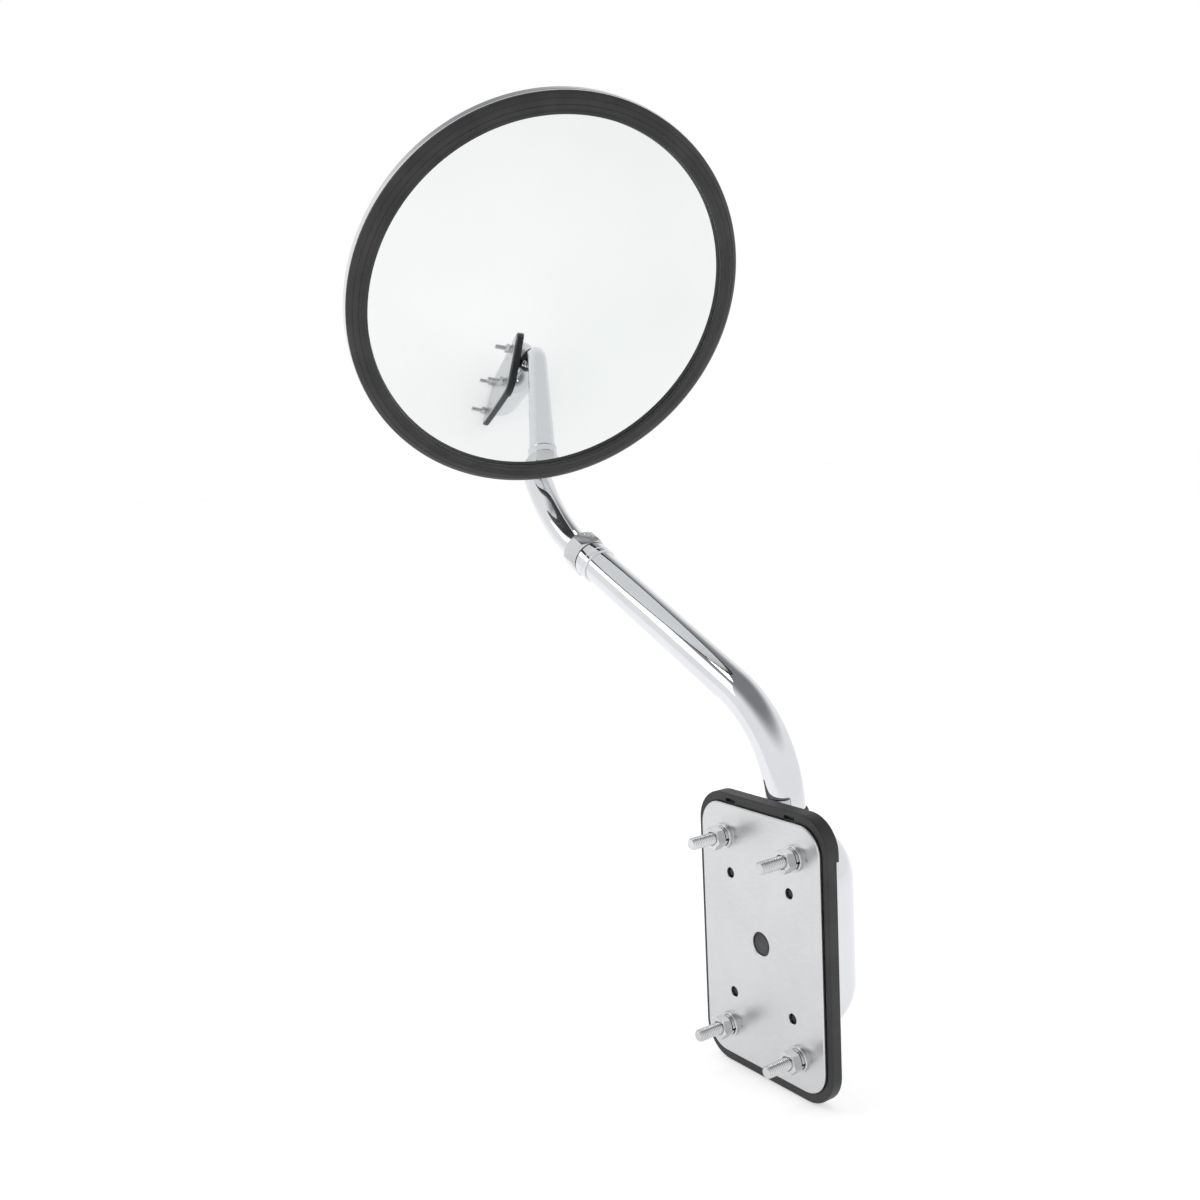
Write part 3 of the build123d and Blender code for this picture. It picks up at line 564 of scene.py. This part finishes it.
def makePlate(sizes):
    w, h, r, c = sizes["width"], sizes["height"], sizes["corner"], sizes["chamfer"]
    mid = sizes["middle"]
    bm = lofted([(w - 2 * c, h - 2 * c, r - c, mid, 0), (w, h, r, mid, c), (w, h, r, mid, sizes["thick"])],
                capStart=True, capEnd=True)
    holes = [drill(3.06, 0.15, -x, z) for x, z in corners(sizes["studs"])]
    holes += [drill(sizes["screwHole"], 0.28, -x, z) for x, z in corners(sizes["screws"])]
    holes.append(drill(sizes["centreHole"], 0.40, 0, 0))
    bm = moved(carved(bm, holes), backFrame)
    finish(bm, "mountPlate", "base", "satinPlate", ["mount_plate"], smooth=25)


makePlate(plateSizes)

studSizes = {"radius": 3.0, "pitch": 1.0, "depth": 0.56, "out": 21.0, "tip": 0.8}
washerEdges = {"flat": [(3.2, 0), (6.2, 0, 0.2), (6.2, 1.5, 0.4), (3.2, 1.5)],
               "spring": [(3.15, 1.52, 0.15), (5.2, 1.52, 0.15), (5.2, 2.72, 0.2), (3.15, 2.72, 0.15)]}
nutBarrel = [(3.02, 3.5), (3.45, 3.1), (4.85, 3.1), (7.4, 4.6), (7.4, 6.6), (4.85, 8.1), (3.55, 8.1), (3.02, 7.55)]


def makeFasteners(sizes):
    spots = [outward(x, z) for x, z in corners(plateSizes["studs"])]
    shank = [(0, -5.2), (5, -5.2, 0.3), (5, -3), (2.95, -3), (2.95, 2.6), (0, 2.6)]
    studs = [moved(joined([spun(shank, 48), threaded(sizes["radius"], sizes["pitch"], sizes["depth"], 2.6,
                                                     sizes["out"], sizes["tip"])]), spot) for spot in spots]
    finish(joined(studs), "mountStuds", "base", "brightZinc", ["mount_studs"], smooth=50)
    flats = [moved(spun(washerEdges["flat"], 64), spot) for spot in spots]
    finish(joined(flats), "flatWashers", "base", "brightZinc", ["flat_washers"])
    springs = [moved(spun(washerEdges["spring"], 60, 349, 0.36), spot) for spot in spots]
    finish(joined(springs), "springWashers", "base", "brightZinc", ["lock_washers"])
    turn = cornerAngle("hex_nuts", outward(24, 48), 6.5)
    nuts = [moved(hexNut(10.0, 3.1, 8.1, turn, nutBarrel), spot) for spot in spots]
    finish(joined(nuts), "hexNuts", "base", "nutSteel", ["hex_nuts"], edge=0.12)


makeFasteners(studSizes)

screwShape = [(0, 1.3), (1.7, 1.3), (2.35, 1.9), (2.42, 2.6), (2.42, 13.6), (4.25, 13.6, 0.3), (4.25, 18.2, 0.6),
              (0, 18.2)]
plugShape = [(0, 1.15), (3.2, 1.15, 0.2), (3.5, 0.75, 0.15), (4.1, 0.75, 0.2), (4.4, 1.2, 0.2), (5.2, 1.2, 0.2),
             (5.66, 1.5), (5.66, 3), (7.5, 3), (7.5, 3.95, 0.4), (0, 3.95)]


def makePlugAndScrews():
    screws = [moved(spun(screwShape, 40), backFrame @ Matrix.Translation((x, z, 0)))
              for x, z in corners(plateSizes["screws"])]
    finish(joined(screws), "bracketScrews", "base", "blackOxide", ["bracket_screws"])
    finish(moved(spun(plugShape, 64), backFrame), "holePlug", "base", "plugRubber", ["hole_plug"])


makePlugAndScrews()
print("plate, studs and nuts made")

# ---- rubber frame and polished cover ----

coverSizes = {"width": 83.0, "low": -40.5, "high": 61.5, "back": 35.0, "corner": 27.0, "round": 24.0, "wall": 1.2,
              "frame": (85.7, 135.55, 15.6, 0.375), "front": 7.6, "flange": 8.6, "roundSteps": 14}
notchSizes = {"across": 6.5, "up": 1.9, "deep": 2.6, "middle": 2.3, "sink": 0.1, "groove": 0.6,
              "spots": (-20.2, 20.2)}


def makeRubberFrame(sizes):
    bm = nodeCopy("base_gasket")
    top = plateSizes["middle"] + plateSizes["height"] / 2 + sizes["groove"]
    height = top + sizes["up"] / 2 - sizes["sink"]
    notches = [block((sizes["across"], sizes["deep"], sizes["up"]), (x, sizes["middle"], height))
               for x in sizes["spots"]]
    bm = carved(bm, notches)
    finish(bm, "rubberFrame", "base", "blackRubber", ["base_gasket"], edge=0.25, smooth=40,
           segments=3)


def makeCover(sizes):
    w, h = sizes["width"], sizes["high"] - sizes["low"]
    middle = (sizes["high"] + sizes["low"]) / 2
    flange, straight = sizes["flange"], sizes["back"] - sizes["round"]

    def shell(wall):
        reach = sizes["round"] - wall
        rings = []
        for i in range(sizes["roundSteps"] + 1):
            angle = math.radians(90 * i / sizes["roundSteps"])
            inset = wall + reach * (1 - math.cos(angle))
            rings.append((w - 2 * inset, h - 2 * inset, sizes["corner"] - inset, middle,
                          straight + reach * math.sin(angle)))
        return rings

    fw, fh, fr, fm = sizes["frame"]
    outer = [(fw, fh, fr, fm, flange), (w + 1.2, h + 1.2, sizes["corner"] + 0.6, middle, flange),
             (w + 0.3, h + 0.3, sizes["corner"] + 0.15, middle, flange + 0.25),
             (w, h, sizes["corner"], middle, flange + 0.8)]
    inner = [(fw, fh, fr, fm, flange), (fw, fh, fr, fm, sizes["front"]),
             (w - 2 * sizes["wall"], h - 2 * sizes["wall"], sizes["corner"] - sizes["wall"], middle, sizes["front"])]
    bm = joined([lofted(outer + shell(0), capEnd=True, segments=20),
                 lofted(inner + shell(sizes["wall"]), capEnd=True, segments=20)])
    bmesh.ops.remove_doubles(bm, verts=bm.verts[:], dist=0.001)
    bmesh.ops.recalc_face_normals(bm, faces=bm.faces[:])
    bm = carved(moved(bm, backFrame), [cylinder(10.9, 44, 70, 72, 0, armPath["offset"])],
                solver="MANIFOLD")
    finish(bm, "polishedCover", "base", "polishedSteel", ["base_housing"], smooth=28)


makeRubberFrame(notchSizes)
makeCover(coverSizes)
sealShape = [(9.57, 49.5), (10.88, 49.5), (10.88, 62.0, 0.1), (10.5, 63.0, 0.5), (9.57, 63.15, 0.2)]
finish(moved(spun(sealShape, 96), pivotFrame), "tubeSeal", "base", "blackRubber", ["tube_seal"])
print("rubber frame and cover made")

# ---- lower tube, fitting and clamp nut ----

tubeSizes = {"lowerOut": 9.525, "lowerIn": 8.325, "upperOut": 7.95, "sides": 72, "bendSteps": 44}
fittingShape = [(9.525, -9.5), (10.1, -9.5, 0.15), (10.5, -9.1, 0.15), (10.5, -6.6), (10.15, -6.3), (10.15, -5.7),
                (10.5, -5.4), (10.5, -0.4, 0.15), (10.1, 0, 0.15), (9.1, 0), (9.1, 7.6), (8.85, 8.0),
                (8.72, 7.9), (8.12, 5.6), (8.12, -3.0), (9.525, -3.0)]
clampBarrel = [(9.13, 0.35), (10.5, 0.35), (10.75, 0.5), (12.6, 1.75), (14, 1.75), (14, 8.6), (12.4, 9.4),
               (9.2, 13.7), (8.9, 14.0), (8.12, 14), (8.12, 12.4), (8.9, 10.6), (9.13, 8.6)]


def makeLowerArm(sizes):
    start = Vector((0, armPath["offset"], armPath["bottom"]))
    moves = [("run", lowerCorner - start, 1),
             ("turn", lowerCorner + leftAxis * armPath["lowerBend"], Vector((0, -1, 0)), armPath["lean"],
              sizes["bendSteps"]),
             ("run", armDir * (armPath["straight"] - 3.0), 6)]
    shells = [tubeShell(r, start, Vector((1, 0, 0)), upAxis, moves, sizes["sides"])[0]
              for r in (sizes["lowerOut"], sizes["lowerIn"])]
    bm = joined(shells)
    openEdges = [e for e in bm.edges if e.is_boundary]
    for atStart in (True, False):
        ends = [e for e in openEdges if (e.verts[0].co.z < armPath["bottom"] + 1) is atStart]
        bmesh.ops.bridge_loops(bm, edges=ends)
    bmesh.ops.recalc_face_normals(bm, faces=bm.faces[:])
    finish(bm, "lowerTube", "lower_arm", "polishedSteel", ["lower_arm"])


makeLowerArm(tubeSizes)
finish(moved(spun(fittingShape, 96), armFrame), "tubeFitting", "lower_arm", "polishedSteel",
       ["arm_fitting"])
clampTurn = cornerAngle("compression_nut", armFrame, 13.5)
finish(moved(hexNut(21.0, 0.35, 14.0, clampTurn, clampBarrel), armFrame), "clampNut", "clamp_nut", "nutSteel",
       ["compression_nut"], edge=0.18)
print("lower tube and clamp made")

# ---- upper tube with its pressed eye, and the ball stud ----

eyeSizes = {"halfWidth": 11.0, "halfThick": 3.0, "corner": 2.6, "pressFrom": 48.0, "flatFrom": 66.0, "hole": 4.1,
            "pressSteps": 12, "roundSteps": 9}


def pressedPoint(degrees, halfWidth, halfThick, corner):
    # the same share of a flat oval's edge as the angle is of a circle's
    share = degrees % 360
    quarter, part = divmod(share, 90)
    part = part / 90 if quarter in (0, 2) else 1 - part / 90
    corner = min(corner, halfWidth, halfThick)
    rising, bend, flat = halfThick - corner, corner * math.pi / 2, halfWidth - corner
    along = part * (rising + bend + flat)
    if along < rising:
        x, y = halfWidth, along
    elif along < rising + bend and corner > 0:
        angle = (along - rising) / corner
        x, y = halfWidth - corner + corner * math.cos(angle), rising + corner * math.sin(angle)
    else:
        x, y = max(0.0, halfWidth - corner - (along - rising - bend)), halfThick
    return x * (1 if quarter in (0, 3) else -1), y * (1 if quarter in (0, 1) else -1)


def makeUpperArm(sizes):
    moves = [("run", armDir * (armPath["insert"] + armPath["upperStart"]), 6),
             ("turn", curveStart + bendDir * armPath["upperBend"], armDir.cross(bendDir), armPath["upperTurn"],
              tubeSizes["bendSteps"]),
             ("run", tipDir * sizes["pressFrom"], 2)]
    bm, edges = tubeShell(tubeSizes["upperOut"], armTop - armDir * armPath["insert"], rise, armDir, moves,
                          tubeSizes["sides"])
    bmesh.ops.holes_fill(bm, edges=[e for e in bm.edges if e.is_boundary and e not in set(edges)], sides=0)
    side = tipDir.cross(studDir)
    centre = curveEnd + tipDir * sizes["pressFrom"]
    ring = [v for v in {v for e in edges for v in e.verts}]
    angles = {v: math.degrees(math.atan2((v.co - centre).dot(studDir), (v.co - centre).dot(side))) for v in ring}
    steps = []
    for i in range(1, sizes["pressSteps"] + 1):
        share = i / sizes["pressSteps"]
        steps.append((sizes["pressFrom"] + (sizes["flatFrom"] - sizes["pressFrom"]) * share,
                      share * share * (3 - 2 * share), sizes["halfWidth"]))
    steps.append((armPath["upperStraight"], 1.0, sizes["halfWidth"]))
    for i in range(1, sizes["roundSteps"] + 1):
        turn = math.radians(90 * i / sizes["roundSteps"])
        steps.append((armPath["upperStraight"] + sizes["halfWidth"] * math.sin(turn), 1.0,
                      sizes["halfWidth"] * max(0.0, math.cos(turn))))
    for station, flatness, halfWidth in steps:
        old = {tuple(round(c, 4) for c in v.co): angles[v] for v in ring}
        edges, ring = pushed(bm, edges)
        angles = {v: old[tuple(round(c, 4) for c in v.co)] for v in ring}
        for v in ring:
            x, y = pressedPoint(angles[v], halfWidth, sizes["halfThick"], sizes["corner"])
            angle = math.radians(angles[v])
            x = tubeSizes["upperOut"] * math.cos(angle) * (1 - flatness) + x * flatness
            y = tubeSizes["upperOut"] * math.sin(angle) * (1 - flatness) + y * flatness
            v.co = curveEnd + tipDir * station + side * x + studDir * y
    bmesh.ops.remove_doubles(bm, verts=bm.verts[:], dist=0.002)
    bmesh.ops.dissolve_degenerate(bm, edges=bm.edges[:], dist=0.001)
    bmesh.ops.recalc_face_normals(bm, faces=bm.faces[:])
    bm = carved(bm, [moved(cylinder(sizes["hole"], -6, 6, 64), frameAt(tip, tipDir, studDir))])
    finish(bm, "upperTube", "upper_arm", "polishedSteel", ["upper_arm"], smooth=40)


makeUpperArm(eyeSizes)
ballShape = ([(0, -10.0)] + arc((0, 0), 10.0, -82, 70.1, 30)
             + [(3.25, 10.6), (3.25, 12.2), (3.7, 13.5), (7, 14.0, 0.4), (7, 17), (3.95, 17), (3.95, 30.5), (0, 30.5)])
ballStud = joined([spun(ballShape, 80), threaded(4.0, 1.25, 0.7, 30.5, 35.0, 0.7)])
finish(moved(ballStud, studFrame), "ballStud", "upper_arm", "polishedSteel", ["ball_stud"],
       smooth=45)
studWasher = [(4.2, 23.02), (8.2, 23.02, 0.2), (8.2, 24.58, 0.4), (4.2, 24.58)]
studSpring = [(4.2, 24.62, 0.15), (6.9, 24.62, 0.15), (6.9, 26.0, 0.2), (4.2, 26.0, 0.15)]
studBarrel = [(4.02, 26.9), (4.6, 26.42), (6.35, 26.42), (9, 27.8), (9, 31.3), (6.35, 32.8),
              (4.6, 32.8), (4.02, 32.2)]
finish(moved(spun(studWasher, 64), studFrame), "studWasher", "upper_arm", "brightZinc", ["stud_washer"])
finish(moved(spun(studSpring, 60, 349, 0.36), studFrame), "studSpringWasher", "upper_arm", "brightZinc",
       ["stud_lock_washer"])
studTurn = cornerAngle("stud_nut", studFrame, 8.0)
finish(moved(hexNut(13.0, 26.42, 32.8, studTurn, studBarrel), studFrame), "studNut", "upper_arm", "nutSteel",
       ["stud_nut"], edge=0.15)
print("upper tube and ball stud made")

# ---- mirror head ----

headSizes = {"rim": 106.4, "view": 96.1, "glass": 99.0, "curve": 600.0, "glassEdge": 0.4, "glassThick": 3.0,
             "bowlBack": 28.0, "flat": 33.0, "screwRing": 22.5}
ringShape = [(96.1, -2.35), (96.35, -2.8), (96.9, -3.08), (97.4, -3.05), (97.8, -2.8), (98.1, -2.45), (98.35, -2.3),
             (98.7, -2.38), (99.6, -2.55), (100.4, -2.58), (100.55, -2.4), (100.75, -2.4), (100.9, -2.56),
             (101.6, -2.5),
             (102.5, -2.25), (103.2, -1.98), (103.35, -1.75), (103.55, -1.7), (103.7, -1.82), (104.4, -1.35),
             (105.1, -0.85), (105.8, -0.2), (106.2, 0.2), (106.4, 0.55), (106.4, 1.45), (103.85, 1.45), (103.85, 6.2),
             (97.6, 6.2), (97.6, 4.95), (99.05, 4.95), (99.05, 0.4), (96.6, 0.0), (96.1, -0.3)]


def makeHead(sizes):
    finish(moved(spun(ringShape, 192), headFrame), "headRing", "head", "blackRubber", ["head_gasket"],
           smooth=48)
    rise = sizes["curve"] - math.sqrt(sizes["curve"] ** 2 - sizes["glass"] ** 2)
    pole = sizes["glassEdge"] - rise
    span = math.degrees(math.asin(sizes["glass"] / sizes["curve"]))
    thick = sizes["glassThick"]
    front = arc((0, pole + sizes["curve"]), sizes["curve"], -90, -90 + span, 40)
    back = [(x, y + thick) for x, y in reversed(front)]
    glass = [(0, pole)] + front[1:] + back[:-1] + [(0, pole + thick)]
    finish(moved(spun(glass, 192), headFrame), "mirrorGlass", "head", "silveredGlass",
           ["mirror_glass"])

    rim, flat, deep = sizes["rim"], sizes["flat"], sizes["bowlBack"]
    outside = throughThree((rim + 0.4, 5.6), (79.0, 19.6), (flat, deep), 36)
    inside = throughThree((flat, deep - 1.0), (78.6, 18.6), (rim - 0.8, 5.9), 36)
    bowl = ([(14.3, deep), (14.3, deep - 1.0)] + inside + [(rim - 0.8, 2.6), (rim - 2.6, 2.5), (rim - 2.6, 1.55),
            (rim - 0.2, 1.55), (rim + 0.2, 1.7), (rim + 0.4, 2.0)] + outside)
    holes = [moved(cylinder(2.7, deep - 3, deep + 2, 40), turnAt(i)) for i in range(3)]
    bowlMesh = carved(spun(bowl, 160), holes)
    finish(moved(bowlMesh, headFrame), "mirrorBowl", "head", "polishedSteel", ["mirror_bowl"])

    middle = headAim["ballDepth"]
    inner = arc((0, middle), 12.0, 51.0, 2.5, 16)
    cup = ([(28, 24.5, 0.2), (28, 27, 0.5), (14.2, 27), (14.2, 31.4, 0.5), (12.2, 33.6, 0.5), (7.8, 33.6)] + inner)
    holes = [moved(cylinder(2.7, 22, 29, 40), turnAt(i)) for i in range(3)]
    finish(moved(carved(spun(cup, 128), holes), headFrame), "socketCup", "head", "polishedSteel",
           ["socket_cup"])

    screwProfile = [(0, 17), (2.1, 17, 0.1), (2.4, 17.4), (2.4, 28.02), (4.6, 28.02), (4.6, 28.6, 0.2), (4.1, 29.6),
                    (3.1, 30.15), (1.7, 30.36), (0, 30.4)]
    screws = []
    for i in range(3):
        slots = [moved(block(size, (0, 0, 30.2)), Matrix.Rotation(math.radians(20 + 50 * i), 4, "Z"))
                 for size in ((5.2, 0.95, 2.0), (0.95, 5.2, 2.0))]
        screws.append(moved(carved(spun(screwProfile, 56), slots), turnAt(i)))
    finish(moved(joined(screws), headFrame), "socketScrews", "head", "brightZinc",
           ["socket_screws"], edge=0.08)


def turnAt(index):
    angle = math.radians(90 + 120 * index)
    radius = headSizes["screwRing"]
    return Matrix.Translation((radius * math.cos(angle), radius * math.sin(angle), 0))


makeHead(headSizes)
print("mirror head made")

# ---- parts kept from the frame, with their own finishes ----

keptNodes = {
    "castMetal": ["arm_bracket"],
    "nylon": ["pivot_bush", "friction_washer", "end_plug", "rear_liner", "front_liner"],
    "brightZinc": ["clamp_spacers", "pivot_nut", "spring_washer", "retainer_cup", "pressure_cup", "socket_nuts",
                   "pivot_plug", "thrust_collar"],
    "springSteel": ["friction_spring", "pressure_spring"],
    "brassRing": ["ferrule"],
    "foamBack": ["backing_pad"],
}
for finishName, nodes in keptNodes.items():
    for node in nodes:
        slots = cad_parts[node].data.materials
        slots.clear()
        slots.append(finishes[finishName])
print("inner parts finished")

# ---- floor and light ----

studio = {"floor": (0.94, 0.94, 0.94), "floorGlow": 0.44, "world": 1.0, "horizon": (1, 1, 1),
          "ceiling": (0.26, 0.26, 0.27), "ceilingFrom": 0.42, "ceilingTo": 0.90, "lightTarget": (-0.08, 0, 0.15),
          "view": "Standard"}
lamps = {"keyLight": {"place": (-0.9, -1.1, 1.1), "size": (1.0, 0.8), "power": 3},
         "topStrip": {"place": (-0.43, -0.08, 1.5), "size": (1.3, 0.16), "power": 3}}


def makeFloor():
    low = min(cadBox[0].z, cadBox[1].z) - 0.0006
    bm = bmesh.new()
    bmesh.ops.create_grid(bm, x_segments=1, y_segments=1, size=14)
    bmesh.ops.translate(bm, vec=(0, 0, low), verts=bm.verts[:])
    floor = asObject(bm, "floor")
    graph = newGraph("paleFloor")
    graph.surface({"Base Color": graph.blend(graph.noise(3, 2), studio["floor"], (0.945, 0.945, 0.945)),
                   "Roughness": 0.9, "Specular IOR Level": 0.0,
                   "Emission Color": (1, 1, 1, 1), "Emission Strength": studio["floorGlow"]})
    floor.data.materials.append(graph.owner)


def makeWorld():
    world = bpy.data.worlds.new("studio")
    bpy.context.scene.world = world
    graph = Graph(world)
    ways = graph.node("ShaderNodeTexCoord", output="Generated")
    height = graph.node("ShaderNodeSeparateXYZ", None, {0: ways}, output=2)
    shade = graph.blend(graph.between(height, studio["ceilingFrom"], studio["ceilingTo"]), studio["horizon"],
                        studio["ceiling"])
    light = graph.node("ShaderNodeBackground", None, {"Color": shade, "Strength": studio["world"]})
    graph.node("ShaderNodeOutputWorld", None, {"Surface": light})


def softBox(name, place, target, size, power):
    data = bpy.data.lights.new(name, "AREA")
    data.shape, data.size, data.size_y, data.energy = "RECTANGLE", size[0], size[1], power
    lamp = bpy.data.objects.new(name, data)
    bpy.context.scene.collection.objects.link(lamp)
    aim = (Vector(target) - Vector(place)).to_track_quat("-Z", "Y")
    lamp.matrix_world = Matrix.Translation(place) @ aim.to_matrix().to_4x4()


makeFloor()
makeWorld()
for lampName, lamp in lamps.items():
    softBox(lampName, lamp["place"], studio["lightTarget"], lamp["size"], lamp["power"])
bpy.context.scene.view_settings.view_transform = studio["view"]
print("floor and light made")
